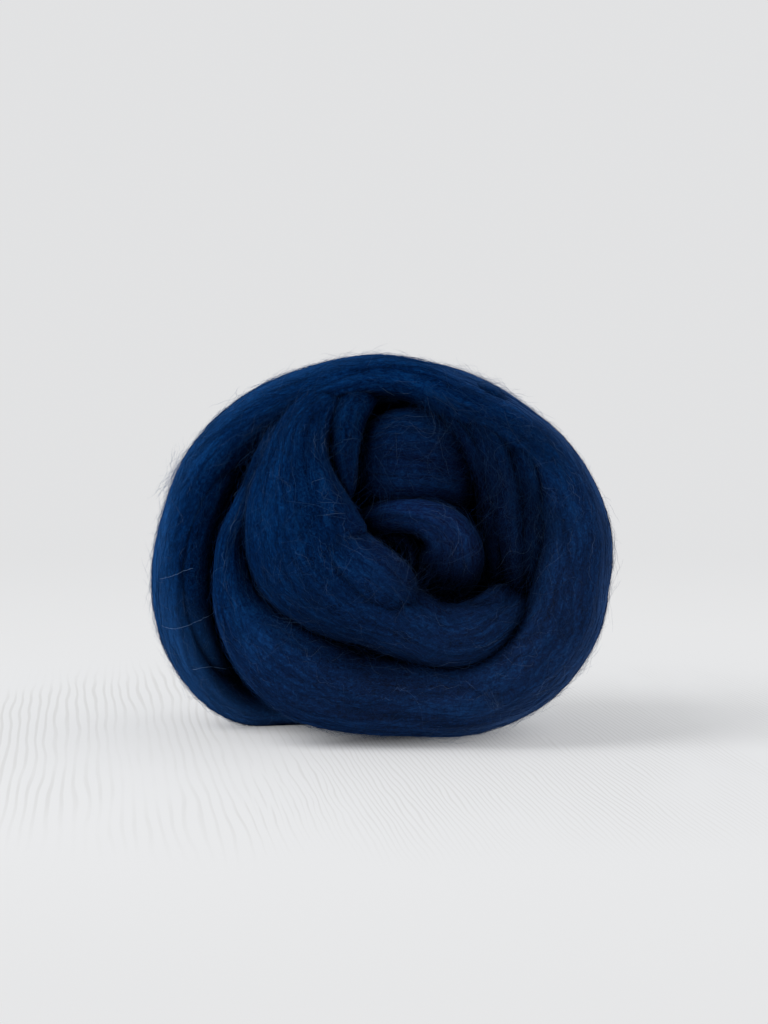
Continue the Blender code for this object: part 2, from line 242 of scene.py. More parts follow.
# the loose strands between the thumb and the right side of the ring, from the inside outwards
STRANDS = (
    (
        (3.6, -3.5, 94, 2.4, 2.2),
        (8.9, -10, 91.8, 2.6, 2.6),
        (14.5, -15, 89.3, 2.8, 2.7),
        (18.6, -18.3, 84.3, 2.9, 4.5),
        (21.5, -18.6, 79.6, 2.9, 6.2),
        (24.1, -19.6, 75.4, 2.9, 6.2),
        (27.2, -20.6, 70.4, 2.9, 6.2),
        (28.8, -20.6, 63.6, 3, 6.2),
        (29.6, -20.6, 55.6, 3, 6.2),
        (30.6, -20.2, 48, 3.4, 6.2),
        (31.8, -18.6, 40, 3.4, 6.0),
        (33, -15, 32, 3, 5.0),
    ),
    (
        (13, -7.5, 93.1, 3.2, 2.8),
        (19.6, -14, 89.9, 3.8, 3.4),
        (24.4, -18.3, 85.6, 4.2, 5.3),
        (27.5, -19.6, 79.4, 4.4, 7.2),
        (30, -21.6, 73.1, 4.4, 7.2),
        (31.9, -22.1, 65.8, 4.4, 7.2),
        (32.9, -22, 57.9, 4.4, 7.0),
        (33.8, -21.8, 50.4, 4.4, 6.8),
        (34.8, -20.4, 42.1, 4.4, 6.6),
        (35.8, -17, 34, 4, 6.0),
    ),
    (
        (20.7, -9.6, 92, 3.6, 3.0),
        (27.8, -16, 89.9, 4.6, 4.0),
        (32.6, -17.6, 83.5, 4.6, 4.8),
        (36.6, -19.8, 76.7, 5.2, 6.8),
        (38.8, -21.6, 69.3, 5.2, 7.4),
        (39.4, -20.6, 62.6, 5.2, 7.4),
        (39.2, -21.2, 54.5, 5.4, 7.4),
        (38.6, -20.6, 45, 5.2, 7.2),
        (37.4, -18, 36, 4.4, 6.4),
    ),
)
HEEL = (
    (19.9, -29, 29.4, 3.5, 3.5),
    (23.8, -34, 31.4, 5.4, 5.2),
    (27.2, -33.5, 34.2, 5.6, 5.2),
    (30.4, -29, 37, 4.8, 4.6),
    (33, -21, 40.5, 3.2, 3.2),
)
# pleats where the lobe comes out from under the top of the ring
GATHERS = (
    (
        (2.5, -10, 98, 2.4, 2.0),
        (-1.5, -13, 95.5, 3.6, 2.6),
        (-5.8, -16.5, 91, 4.8, 3.4),
        (-8.8, -21, 85, 4.6, 4.0),
        (-9.9, -26, 77.5, 4.1, 4.0),
        (-9.6, -29, 70.5, 3.2, 3.6),
        (-8.3, -30.5, 64.5, 2.4, 2.4),
    ),
    (
        (-21, 0, 96.3, 3, 3.0),
        (-23.2, -8, 90.9, 3.2, 3.2),
        (-26.1, -14, 83.7, 3.4, 3.4),
        (-29.1, -19, 77.1, 3.6, 3.6),
        (-31.6, -23, 71.5, 3.6, 3.6),
        (-33.6, -24.5, 65.2, 3.4, 3.4),
        (-34.8, -22, 58.2, 2.6, 2.6),
    ),
)
BACK_CROSSING = (
    (36, 18, 86, 8, 5.0),
    (30, 31, 77, 12, 7.0),
    (17, 38, 63, 14, 8.0),
    (1, 39.5, 47, 15, 8.0),
    (-15, 39, 31, 14, 8.0),
    (-29, 33, 18, 12, 7.0),
    (-38, 24, 12, 8, 5.0),
)
WINDING_CENTRE = (0, 8, 50)


def outline_radius(turn):
    """Distance in mm from the face's centre to the ball's outline, at a turn in degrees."""
    angle = math.radians(turn)
    if math.sin(angle) > 0:
        half_height, power = BALL_HEIGHT - WIDEST_LEVEL, UPPER_POWER
    else:
        half_height, power = WIDEST_LEVEL + SETTLE, LOWER_POWER
    across = abs(math.cos(angle)) / HALF_WIDTH
    up = abs(math.sin(angle)) / half_height
    return (across**power + up**power) ** (-1 / power)


def place_outer_row(row):
    """A row of an outer band as a row of x, depth, z, half_width, half_thick."""
    turn, inset, depth, half_width, half_thick = row
    radius = outline_radius(turn) - inset
    x = radius * math.cos(math.radians(turn))
    z = WIDEST_LEVEL + radius * math.sin(math.radians(turn))
    return (x, depth, z, half_width, half_thick)


# ---------------------------------------------------------------------------
# Bands: a flat web of fibre, rolled round its route
# ---------------------------------------------------------------------------

SIDE_STEP = 0.85  # the web's mesh across the fibres, in mm
STATION_STEP = 2.0  # the web's mesh along the fibres, in mm
CURVE_STEPS = 12  # points worked out between two rows, before the even stations are read
END_TAPER = 7.0  # the length over which a band's end closes to a point
LEAST_END = 0.02
FEWEST_SIDES = 24
MOST_SIDES = 96
LEAST_STATIONS = 6
LEAST_LENGTH = 1e-9
ALMOST_LAST = 1.001  # stations from the end, so that a place there still has one after it
SEAM_MERGE = 0.00005  # in metres

# Grooves and ridges along the fibres: cells per unit of the round section, cells per mm along
# the band, and height in mm.
GROOVES = (
    (0.8, 0.022, 0.9),
    (1.9, 0.016, 0.75),
    (4.2, 0.020, 0.38),
)
GROOVE_SHIFT = 7.3  # keeps the three sizes of groove from lining up
FULL_GROOVE_THICK = 9.0  # the half thickness from which grooves have their full height


def smooth_route(rows, step):
    """Even stations, step mm apart, on a smooth curve through the rows."""
    rows = np.array(rows, float)
    padded = np.vstack((rows[:1], rows, rows[-1:]))
    part = (np.arange(CURVE_STEPS) / CURVE_STEPS)[:, None]
    stretches = []
    for before, start, end, after in zip(padded, padded[1:], padded[2:], padded[3:]):
        bend = 2 * before - 5 * start + 4 * end - after
        twist = 3 * (start - end) + after - before
        stretches.append(0.5 * (2 * start + part * (end - before + part * (bend + part * twist))))
    fine = np.vstack((*stretches, rows[-1:]))
    run = np.concatenate(([0], np.cumsum(np.linalg.norm(np.diff(fine[:, :3], axis=0), axis=1))))
    places = np.linspace(0, run[-1], max(LEAST_STATIONS, round(run[-1] / step)))
    return places, np.stack([np.interp(places, run, column) for column in fine.T], axis=1)


def unit(vectors):
    lengths = np.linalg.norm(vectors, axis=-1, keepdims=True)
    return vectors / np.maximum(lengths, LEAST_LENGTH)


class Band:
    """One stretch of roving: its mesh points as stations by sides, with their normals, in mm."""

    def __init__(self, name, rows, faces_away_from, twist=0.004, grooves=1.0, shade=1.0):
        self.name = name
        # shade is painted light and shade on the band's colour: below 1 for bands that lie deep or
        # out of the light
        self.shade = shade
        self.run, values = smooth_route(rows, STATION_STEP)
        middles, half_width, half_thick = values[:, :3], values[:, 3], values[:, 4]
        along = unit(np.gradient(middles, axis=0))
        outward = middles - np.array(faces_away_from, float)
        outward = unit(outward - along * (outward * along).sum(1)[:, None])
        across = np.cross(along, outward)
        girth = 2 * math.pi * math.sqrt((half_width.max() ** 2 + half_thick.max() ** 2) / 2)
        self.sides = int(min(MOST_SIDES, max(FEWEST_SIDES, round(girth / SIDE_STEP))))
        self.girth = girth
        # the seam lies on the band's inner side, away from view
        angle = -math.pi / 2 + 2 * math.pi * np.arange(self.sides + 1) / self.sides
        sine, cosine = np.sin(angle), np.cos(angle)
        left = np.minimum(self.run, self.run[-1] - self.run) / END_TAPER
        taper = np.sqrt(np.clip(1 - (1 - np.clip(left, 0, 1)) ** 2, LEAST_END**2, 1))
        spread = across[:, None] * (half_width * taper)[:, None, None] * cosine[None, :, None]
        depth = outward[:, None] * (half_thick * taper)[:, None, None] * sine[None, :, None]
        points = middles[:, None] + spread + depth + MIDDLE
        facing = unit(
            across[:, None] * (half_thick[:, None] * cosine)[:, :, None]
            + outward[:, None] * (half_width[:, None] * sine)[:, :, None]
        )
        size = np.minimum(1.0, half_thick / FULL_GROOVE_THICK) * taper * grooves
        height = self.groove_heights(angle, twist) * size[:, None]
        self.points = points + facing * height[:, :, None]
        self.points[:, -1] = self.points[:, 0]
        self.points[..., 2] = np.maximum(self.points[..., 2], 0.0)
        self.along = along
        self.normals = self.point_normals(facing)

    def groove_heights(self, angle, twist):
        """How far each point stands out or in, in mm, from slow noise drawn out along the band."""
        place = noise_place(self.name)
        heights = np.zeros((len(self.run), len(angle)))
        for i, run in enumerate(self.run):
            for j in range(self.sides):
                turned = angle[j] + twist * run
                c, s = math.cos(turned), math.sin(turned)
                total = 0.0
                for cells, lengthways, height in GROOVES:
                    level = run * lengthways + GROOVE_SHIFT * cells
                    total += height * noise.noise(Vector((c * cells, s * cells, level)) + place)
                heights[i, j] = total
            heights[i, -1] = heights[i, 0]
        return heights

    def point_normals(self, facing):
        """The surface's outward directions, with the grooves in."""
        lengthways = np.gradient(self.points, axis=0)
        ring = self.points[:, :-1]
        sideways = np.roll(ring, -1, axis=1) - np.roll(ring, 1, axis=1)
        sideways = np.concatenate((sideways, sideways[:, :1]), axis=1)
        found = unit(np.cross(sideways, lengthways))
        flip = np.sign((found * facing).sum(-1, keepdims=True))
        return found * np.where(flip == 0, 1, flip)

    def look_up(self, table, side, run):
        """Values of a table of stations by sides, read between its points."""
        stations = len(self.run)
        place = np.clip(run / self.run[-1] * (stations - 1), 0, stations - ALMOST_LAST)
        i = place.astype(int)
        share = (place - i)[..., None]
        around = np.mod(side, 1.0) * self.sides
        j = np.minimum(around.astype(int), self.sides - 1)
        beside = (around - j)[..., None]
        near = table[i, j] * (1 - beside) + table[i, j + 1] * beside
        far = table[i + 1, j] * (1 - beside) + table[i + 1, j + 1] * beside
        return near * (1 - share) + far * share


NOISE_STRIDE = (0.37, 0.73, 0.19)
NOISE_ROOM = 50


def noise_place(name):
    """A place of its own in the noise for each band, from its name's letters."""
    code = sum((i + 1) * ord(letter) for i, letter in enumerate(name))
    return Vector([code * stride % NOISE_ROOM for stride in NOISE_STRIDE])


def settle_object(obj, name, material):
    obj.name = name
    obj.data.name = name
    obj.data.materials.clear()
    obj.data.materials.append(material)
    obj.select_set(False)
    return obj


def edit_selected(obj, *steps):
    """Runs edit-mode operators on the whole of one mesh."""
    bpy.ops.object.select_all(action="DESELECT")
    bpy.context.view_layer.objects.active = obj
    obj.select_set(True)
    bpy.ops.object.mode_set(mode="EDIT")
    bpy.ops.mesh.select_all(action="SELECT")
    for step in steps:
        step()
    bpy.ops.object.mode_set(mode="OBJECT")


def make_band_mesh(band, material):
    """A grid, its columns along the fibres, rolled into the band and closed along its seam."""
    stations = len(band.run)
    bpy.ops.mesh.primitive_grid_add(
        x_subdivisions=band.sides, y_subdivisions=stations - 1, size=1, location=(0, 0, 0)
    )
    obj = bpy.context.object
    mesh = obj.data
    places = np.empty(len(mesh.vertices) * 3)
    mesh.vertices.foreach_get("co", places)
    places = places.reshape(-1, 3)
    side = np.rint((places[:, 0] + 0.5) * band.sides).astype(int)
    station = np.rint((places[:, 1] + 0.5) * (stations - 1)).astype(int)
    mesh.vertices.foreach_set("co", (band.points[station, side] * MM).ravel())

    # the web's own map, in mm: across the fibres and along them
    corner = np.empty(len(mesh.loops), int)
    mesh.loops.foreach_get("vertex_index", corner)
    layer = mesh.uv_layers[0]
    layer.name = "fibre"
    across = side[corner] / band.sides * band.girth
    lengthways = band.run[station[corner]]
    layer.data.foreach_set("uv", np.stack((across, lengthways), axis=1).ravel())
    # the painted light and shade, which the material multiplies into the colour
    painted_lit = mesh.attributes.new("lit", "FLOAT", "POINT")
    painted_lit.data.foreach_set("value", band.lit[station, side, 0])
    mesh.update()
    edit_selected(
        obj,
        lambda: bpy.ops.mesh.remove_doubles(threshold=SEAM_MERGE),
        lambda: bpy.ops.mesh.normals_make_consistent(inside=False),
    )
    bpy.ops.object.shade_smooth()
    return settle_object(obj, band.name, material)


def make_core(material):
    """The inner turns as one plain body, painted dark in front as shade and lit only at the back,
    with its own map in mm.
    """
    bpy.ops.object.select_all(action="DESELECT")
    bpy.ops.mesh.primitive_uv_sphere_add(segments=64, ring_count=32, radius=1, location=(0, 0, 0))
    obj = bpy.context.object
    obj.scale = [size * MM for size in CORE_HALF_SIZE]
    obj.location = [(c + m) * MM for c, m in zip(CORE_CENTRE, MIDDLE)]
    bpy.ops.object.transform_apply(location=True, rotation=True, scale=True)
    bpy.ops.object.shade_smooth()
    mesh = obj.data
    layer = mesh.uv_layers[0]
    layer.name = "fibre"
    spread = np.empty(len(mesh.loops) * 2)
    layer.data.foreach_get("uv", spread)
    layer.data.foreach_set("uv", (spread.reshape(-1, 2) * CORE_GIRTH).ravel())
    places = np.empty(len(mesh.vertices) * 3)
    mesh.vertices.foreach_get("co", places)
    # painted shade: the core's colour is black in front and lit toward the back
    lit = CORE_LIT * np.clip(places.reshape(-1, 3)[:, 1] / (CORE_LIT_DEPTH * MM), 0, 1)
    mesh.attributes.new("lit", "FLOAT", "POINT").data.foreach_set("value", lit)
    return settle_object(obj, "wound_core", material)


# ---------------------------------------------------------------------------
# Where the wool can be seen
# ---------------------------------------------------------------------------

LOOKS = 14  # directions tried from each place
LOWEST_LOOK = 0.15  # the least height of a direction above the surface, of 1
LOOK_LIFT = 0.5  # mm above the surface
LOOK_REACH = 200.0
UNDERSIDE = 0.3  # below this level wool lies on the table and isn't looked at
SHUT_IN = (0.12, 0.98, 0.05)  # painted shade: the openness where the wool's colour is painted dark, where it's full, and how dark
SOFT_PASSES = 3
FACE_SHARE = 3.0  # how much more often a fibre is laid on the face than on the back


def fade(values, start, end, least):
    """Values turned smoothly from least at start to 1 at end."""
    part = np.clip((values - start) / (end - start), 0, 1)
    return least + (1 - least) * part * part * (3 - 2 * part)


def soften(table):
    """A table of stations by sides with each value shared among its neighbours."""
    for _ in range(SOFT_PASSES):
        ring = table[:, :-1]
        ring = (np.roll(ring, 1, axis=1) + 2 * ring + np.roll(ring, -1, axis=1)) / 4
        ring[1:-1] = (ring[:-2] + 2 * ring[1:-1] + ring[2:]) / 4
        table = np.concatenate((ring, ring[:, :1]), axis=1)
    return table


def look_directions():
    """Directions spread evenly over the half sphere round +Z."""
    golden = math.pi * (3 - math.sqrt(5))
    rows = []
    for i in range(LOOKS):
        up = LOWEST_LOOK + (1 - LOWEST_LOOK) * (i + 0.5) / LOOKS
        flat = math.sqrt(1 - up * up)
        rows.append((flat * math.cos(golden * i), flat * math.sin(golden * i), up))
    return rows


def find_openness(bands, tree):
    """For each band's points, the share of directions in which nothing is in the way."""
    directions = look_directions()
    for band in bands:
        stations, sides = band.points.shape[:2]
        table = np.zeros((stations, sides, 1))
        for i in range(stations):
            for j in range(0, sides - 1, 2):
                point, normal = band.points[i, j], band.normals[i, j]
                if point[2] < UNDERSIDE:
                    continue
                turn = Vector(normal).to_track_quat("Z", "Y")
                start = Vector(point + normal * LOOK_LIFT)
                clear = 0
                for direction in directions:
                    if tree.ray_cast(start, turn @ Vector(direction), LOOK_REACH)[0] is None:
                        clear += 1
                table[i, j, 0] = clear / LOOKS
        odd = np.arange(1, sides - 1, 2)
        table[:, odd] = (table[:, odd - 1] + table[:, (odd + 1) % (sides - 1)]) / 2
        table[:, -1] = table[:, 0]
        table = soften(table)
        band.openness = table
        # painted shade: each band's colour is darkened where it is shut in between the bands,
        # times its own shade
        band.lit = band.shade * fade(table, *SHUT_IN)


def make_tree(bands):
    """One search tree over all the bands' surfaces."""
    points, faces = [], []
    for band in bands:
        stations, sides = band.points.shape[:2]
        first = sum(len(placed) for placed in points)
        points.append(band.points.reshape(-1, 3))
        i, j = np.meshgrid(np.arange(stations - 1), np.arange(sides - 1), indexing="ij")
        corner = first + i * sides + j
        square = np.stack((corner, corner + 1, corner + sides + 1, corner + sides), axis=-1)
        faces.append(square.reshape(-1, 4))
    return BVHTree.FromPolygons(np.vstack(points).tolist(), np.vstack(faces).tolist())


# ---------------------------------------------------------------------------
# Fibres
# ---------------------------------------------------------------------------

FIBRE_CORNERS = 3
LEAST_OPEN = 0.12  # the openness from which fibres start on a band
STILL_OPEN = 0.35  # a fibre may run on to this share of it
FACE_EDGE = 0.35  # how far past sideways the face still counts
FACE_DEPTH = 10.0  # and how deep
OUTLINE_WIDTH = 0.3
SLOW_WAVES = (0.6, 1.3, 2.4)  # the waves of a fibre's drift, over its whole length
CLUMP_CELLS = 6.0  # shades of neighbouring fibres: cells round a band, and per mm along it
CLUMP_RUN = 0.02
CLUMP_PLACE = 31.0
END_INSET = 0.5  # how far a fibre stays from its band's ends
FEWEST_POINTS = 4  # in a fibre as laid, and in what is kept of it
FEWEST_KEPT = 3
MOST_LEAN = 0.95  # a leaning fibre's run along its band shortens no further than this
CRIMP_WANDER = 1.2  # how unevenly the crimp's waves follow each other
LIFT_WANDER = 0.25
RISE_POWER = 1.7
SHARED_SHADE = 1.4  # what of a fibre's shade it shares with its neighbours, and its own
OWN_SHADE = 0.5
SHADE_ENDS = (0.01, 0.99)
TABLE_GAP = 0.02


def make_fibre_mesh(name, fibres, material):
    """All the fibres of a set as one mesh of thin closed tubes.
    A fibre is its points, its surface normals, its radii, its shade and how lit it is painted, in
    mm."""
    points, corners, shades, painted_lit, sizes = [], [], [], [], []
    count = 0
    angle = 2 * np.pi * np.arange(FIBRE_CORNERS) / FIBRE_CORNERS
    cosine, sine = np.cos(angle)[None, :, None], np.sin(angle)[None, :, None]
    for path, facing, radii, shade, light in fibres:
        painted_lit.append(np.repeat(light, FIBRE_CORNERS))
        along = unit(np.gradient(path, axis=0))
        side = unit(np.cross(along, facing))
        top = np.cross(side, along)
        rings = (side[:, None] * cosine + top[:, None] * sine) * radii[:, None, None]
        points.append((path[:, None] + rings).reshape(-1, 3))
        n = len(path)
        i, j = np.meshgrid(np.arange(n - 1), np.arange(FIBRE_CORNERS), indexing="ij")
        a = count + i * FIBRE_CORNERS + j
        b = count + i * FIBRE_CORNERS + (j + 1) % FIBRE_CORNERS
        squares = np.stack((a, b, b + FIBRE_CORNERS, a + FIBRE_CORNERS), axis=-1).reshape(-1)
        start_cap = count + np.arange(FIBRE_CORNERS)[::-1]
        end_cap = count + (n - 1) * FIBRE_CORNERS + np.arange(FIBRE_CORNERS)
        corners.append(np.concatenate((squares, start_cap, end_cap)))
        caps = (FIBRE_CORNERS, FIBRE_CORNERS)
        sizes.append(np.concatenate((np.full((n - 1) * FIBRE_CORNERS, 4), caps)))
        shades.append(np.full(len(corners[-1]), shade))
        count += n * FIBRE_CORNERS
    points = np.vstack(points) * MM
    corners = np.concatenate(corners)
    sizes = np.concatenate(sizes)
    firsts = np.concatenate(([0], np.cumsum(sizes)[:-1]))
    mesh = bpy.data.meshes.new(name)
    mesh.vertices.add(len(points))
    mesh.vertices.foreach_set("co", points.ravel())
    mesh.loops.add(len(corners))
    mesh.loops.foreach_set("vertex_index", corners.astype(np.int32))
    mesh.polygons.add(len(sizes))
    mesh.polygons.foreach_set("loop_start", firsts.astype(np.int32))
    mesh.update(calc_edges=True)
    lit = mesh.attributes.new("lit", "FLOAT", "POINT")
    lit.data.foreach_set("value", np.concatenate(painted_lit).astype(np.float32))
    layer = mesh.uv_layers.new(name="fibre")
    shade = np.concatenate(shades)
    layer.data.foreach_set("uv", np.stack((shade, np.full(len(shade), 0.5)), axis=1).ravel())
    mesh.polygons.foreach_set("use_smooth", np.ones(len(sizes), bool))
    mesh.validate()
    obj = bpy.data.objects.new(name, mesh)
    bpy.context.scene.collection.objects.link(obj)
    return settle_object(obj, name, material)


def seeds_on(bands, count, rng, near=None, outline=False):
    """Places for fibres: a band, a side and a run along it for each, oftener where more shows.
    near is a point and the distance from it within which most of the places lie, in mm, and
    outline keeps to where the ball turns away from the front."""
    weights, owners = [], []
    for k, band in enumerate(bands):
        lengthways = np.linalg.norm(np.gradient(band.points, axis=0), axis=-1)
        across = np.linalg.norm(np.gradient(band.points, axis=1), axis=-1)
        weight = lengthways * across * np.where(band.openness[..., 0] > LEAST_OPEN, 1.0, 0.0)
        turned_back = band.normals[..., 1]
        if outline:
            weight = weight * np.exp(-((turned_back / OUTLINE_WIDTH) ** 2))
        else:
            face = np.clip(FACE_EDGE - turned_back, 0, 1) * (band.points[..., 1] < FACE_DEPTH)
            weight = weight * (1 + FACE_SHARE * face)
        if near:
            away = np.linalg.norm(band.points - np.array(near[:3]), axis=-1) / near[3]
            weight = weight * np.exp(-away * away)
        weight[:, -1] = 0
        weights.append(weight.ravel())
        owners.append(np.full(weight.size, k))
    weights = np.concatenate(weights)
    owners = np.concatenate(owners)
    local = np.concatenate([np.arange(b.points.shape[0] * b.points.shape[1]) for b in bands])
    picked = rng.choice(len(weights), count, p=weights / weights.sum())
    for k, band in enumerate(bands):
        mine = local[picked[owners[picked] == k]]
        i, j = np.divmod(mine, band.points.shape[1])
        run = band.run[i] + rng.uniform(-1, 1, len(mine)) * STATION_STEP / 2
        side = (j + rng.uniform(-0.5, 0.5, len(mine))) / band.sides
        yield band, side, run


def wander(rng, count, scale):
    """A smooth random drift along one fibre, in mm, from a few slow waves."""
    t = np.linspace(0, 1, count)
    total = np.zeros(count)
    for waves in SLOW_WAVES:
        size = rng.normal(0, scale / waves)
        total += size * np.sin(2 * np.pi * waves * t + rng.uniform(0, 2 * np.pi))
    return total


def clump_shade(band, side, run):
    """The shade that neighbouring fibres share, from -1 to 1: streaks along the band."""
    place = noise_place(band.name)
    values = np.empty(len(side))
    for k, (s, r) in enumerate(zip(side, run)):
        turned = 2 * math.pi * s
        level = r * CLUMP_RUN + CLUMP_PLACE
        spot = Vector((math.cos(turned) * CLUMP_CELLS, math.sin(turned) * CLUMP_CELLS, level))
        values[k] = noise.noise(spot + place)
    return values


def lay_fibres(bands, rng, count, length, step, drift, lift, radius, crimp, crimp_length, turn,
               shade=(0.5, 0.2), rise=None, near=None, outline=False):
    """Fibres that ride on the bands. length, lift, radius and rise are ranges in mm, and shade is
    a middle and a spread. turn is the sideways lean against the band's own direction, and rise
    is how far a fibre's free end stands off."""
    fibres = []
    for band, side, run in seeds_on(bands, count, rng, near, outline):
        lengths = rng.uniform(*length, len(side))
        shared = clump_shade(band, side, run)
        for k in range(len(side)):
            n = max(FEWEST_POINTS, int(lengths[k] / step) + 1)
            t = np.linspace(-0.5, 0.5, n) * lengths[k]
            lean = rng.normal(0, turn)
            sideways = wander(rng, n, drift) + t * lean
            waves = 2 * np.pi * t / crimp_length + rng.uniform(0, 2 * np.pi)
            crimped = crimp * np.sin(waves + wander(rng, n, CRIMP_WANDER))
            sides = side[k] + (sideways + crimped) / band.girth
            runs = run[k] + t * math.sqrt(1 - min(MOST_LEAN, lean * lean))
            height = rng.uniform(*lift) + wander(rng, n, (lift[1] - lift[0]) * LIFT_WANDER)
            height = height + crimp * (1 + np.cos(waves)) / 2
            if rise:
                freed = t / lengths[k] + 0.5
                freed = freed if rng.uniform() < 0.5 else 1 - freed
                height = height + rng.uniform(*rise) * freed**RISE_POWER
            inside = (runs > END_INSET) & (runs < band.run[-1] - END_INSET)
            openness = band.look_up(band.openness, sides, runs)[:, 0]
            keep = longest_stretch(inside & (openness > LEAST_OPEN * STILL_OPEN))
            if keep is None or keep[1] - keep[0] < FEWEST_KEPT:
                continue
            cut = slice(*keep)
            facing = unit(band.look_up(band.normals, sides[cut], runs[cut]))
            path = band.look_up(band.points, sides[cut], runs[cut]) + facing * height[cut][:, None]
            n = len(path)
            ends = np.clip(np.minimum(np.arange(n), np.arange(n)[::-1]) / 2, 0.25, 1)
            radii = rng.uniform(*radius) * ends
            path[:, 2] = np.maximum(path[:, 2], radii + TABLE_GAP)
            tone = SHARED_SHADE * shared[k] + OWN_SHADE * rng.normal()
            tone = float(np.clip(shade[0] + shade[1] * tone, *SHADE_ENDS))
            # the band's painted shade, carried onto the fibre
            lit = band.look_up(band.lit, sides[cut], runs[cut])[:, 0]
            fibres.append((path, facing, radii, tone, lit))
    return fibres


FRONT_REACH = 100.0  # how far in front of the ball a look at its face starts

# the routes of single pale hairs on the front, in x and z
STRAYS = (
    ((-59.8, 42.2), (-56.1, 43.3), (-52.6, 44.9), (-50.5, 45.5)),
    ((-59.8, 29.1), (-55.3, 28.9), (-51.3, 30.2), (-47.3, 32.1), (-44.3, 32.6)),
    ((-51.3, 17.4), (-47.0, 17.9), (-42.7, 16.8), (-40, 15.2)),
)
STRAY_STEP = 0.6
STRAY_SHAKE = 0.08
STRAY_LIFT = 0.35
STRAY_RADIUS = 0.045
STRAY_SHADE = 0.99
STRAY_LIT = 1.3

# loose wisps over the folds: the line they start from (x, z to x, z), their heading in degrees
# from the right, its spread, their least and greatest length and how many there are
WISPS = (
    (10, 94, 44, 84, -62, 22, 8, 22, 300),
    (26, 80, 46, 62, -84, 30, 6, 18, 260),
    (36, 66, 44, 34, -95, 40, 5, 14, 150),
    (-33, 84, -14, 97, -118, 22, 7, 18, 110),
    (-38, 66, -24, 86, -112, 25, 6, 14, 30),
    (-12, 95, 2, 66, -100, 25, 6, 14, 80),
    (2, 44, 28, 36, 20, 70, 4, 10, 160),
    (-30, 36, 20, 22, -20, 60, 4, 10, 160),
)
WISP_STEP = 1.1
WISP_SCATTER = 1.5  # how far a wisp may start from its line
WISP_BEND = 2.2  # degrees that a wisp turns in so many steps, and how unevenly
WISP_WANDER = 9.0
WISP_BEND_STEPS = 3
WISP_SLACK = 3  # how many points on either side a wisp bridges
WISP_LIFT = 0.15
WISP_FLOAT = 0.3  # how much further it floats off here and there
WISP_SLOW = 0.5
WISP_RADIUS = (0.016, 0.028)
WISP_SHADE = (0.42, 0.20)
WISP_SHADE_ENDS = (0.02, 0.90)
# painted shade on the wisps' colour, as they lie over the shaded folds
WISP_LIT = 0.5


def face_depth(tree, x, z):
    """The depth of the first wool behind a place on the face, or None where there is none."""
    hit = tree.ray_cast(Vector((x, -FRONT_REACH, z)), Vector((0, 1, 0)))[0]
    return hit.y if hit else None


def lay_strays(tree, rng):
    """The few long pale hairs, laid on the front along their own routes."""
    fibres = []
    for route in STRAYS:
        corners = np.array([(x, 0.0, z, 0.0, 0.0) for x, z in route])
        _, places = smooth_route(corners, STRAY_STEP)
        path = places[:, :3] + MIDDLE
        path[:, [0, 2]] += rng.normal(0, STRAY_SHAKE, (len(path), 2))
        facing = np.tile((0.0, -1.0, 0.0), (len(path), 1))
        for i, place in enumerate(path):
            depth = face_depth(tree, place[0], place[2])
            path[i, 1] = path[max(i - 1, 0), 1] if depth is None else depth - STRAY_LIFT
        radii = np.full(len(path), STRAY_RADIUS)
        fibres.append((path, facing, radii, STRAY_SHADE, np.full(len(path), STRAY_LIT)))
    return fibres


def near_values(values):
    """For each value of a row, the values up to WISP_SLACK places before and after it."""
    padded = np.pad(values, WISP_SLACK, mode="edge")
    return np.lib.stride_tricks.sliding_window_view(padded, 2 * WISP_SLACK + 1)


def lay_wisps(tree, rng):
    """Loose fibres that cross the folds on the front, drawn taut from crest to crest."""
    fibres = []
    for x0, z0, x1, z1, heading, spread, least, most, count in WISPS:
        for _ in range(count):
            share = rng.uniform()
            n = int(rng.uniform(least, most) / WISP_STEP) + FEWEST_KEPT
            bend = rng.normal(0, WISP_BEND) + wander(rng, n, WISP_WANDER)
            turned = np.arange(n) * bend / WISP_BEND_STEPS
            turn = np.radians(heading + rng.normal(0, spread) + turned)
            start_x = x0 + (x1 - x0) * share + rng.normal(0, WISP_SCATTER)
            x = start_x + np.cumsum(np.cos(turn)) * WISP_STEP
            start_z = z0 + (z1 - z0) * share + rng.normal(0, WISP_SCATTER)
            z = start_z + np.cumsum(np.sin(turn)) * WISP_STEP
            depth = [face_depth(tree, *place) for place in zip(x, z)]
            if None in depth:
                continue
            depth = np.array(depth)
            crests = near_values(depth).min(axis=1)
            taut = near_values(crests).mean(axis=1)
            path = np.stack((x, np.minimum(taut, depth - WISP_LIFT), z), axis=1)
            path[:, 1] -= WISP_FLOAT * wander(rng, n, WISP_SLOW) ** 2
            facing = np.tile((0.0, -1.0, 0.0), (n, 1))
            tone = float(np.clip(rng.normal(*WISP_SHADE), *WISP_SHADE_ENDS))
            radii = np.full(n, rng.uniform(*WISP_RADIUS))
            fibres.append((path, facing, radii, tone, np.full(n, WISP_LIT)))
    return fibres


def longest_stretch(flags):
    """The first and one past the last place of the longest unbroken run of True."""
    best, start = None, None
    for i, flag in enumerate([*flags, False]):
        if flag and start is None:
            start = i
        elif not flag and start is not None:
            if best is None or i - start > best[1] - best[0]:
                best = (start, i)
            start = None
    return best


def triangles_of(fibre):
    return (len(fibre[0]) - 1) * FIBRE_CORNERS * 2 + 2


MOST_TRIANGLES = 190_000  # in one piece of fibres

KNOT = (29.7, -38, 14, 1.6)  # a small curled knot: x, depth, z and how far it spreads

# places where loose wisps stand off: x, depth, z and how far they spread, in mm, and their count
TUFTS = (
    (33, 0, 96, 5, 260),
    (44, -2, 88, 5, 90),
    (61, -6, 52, 5, 60),
    (-54, -4, 70, 6, 50),
)

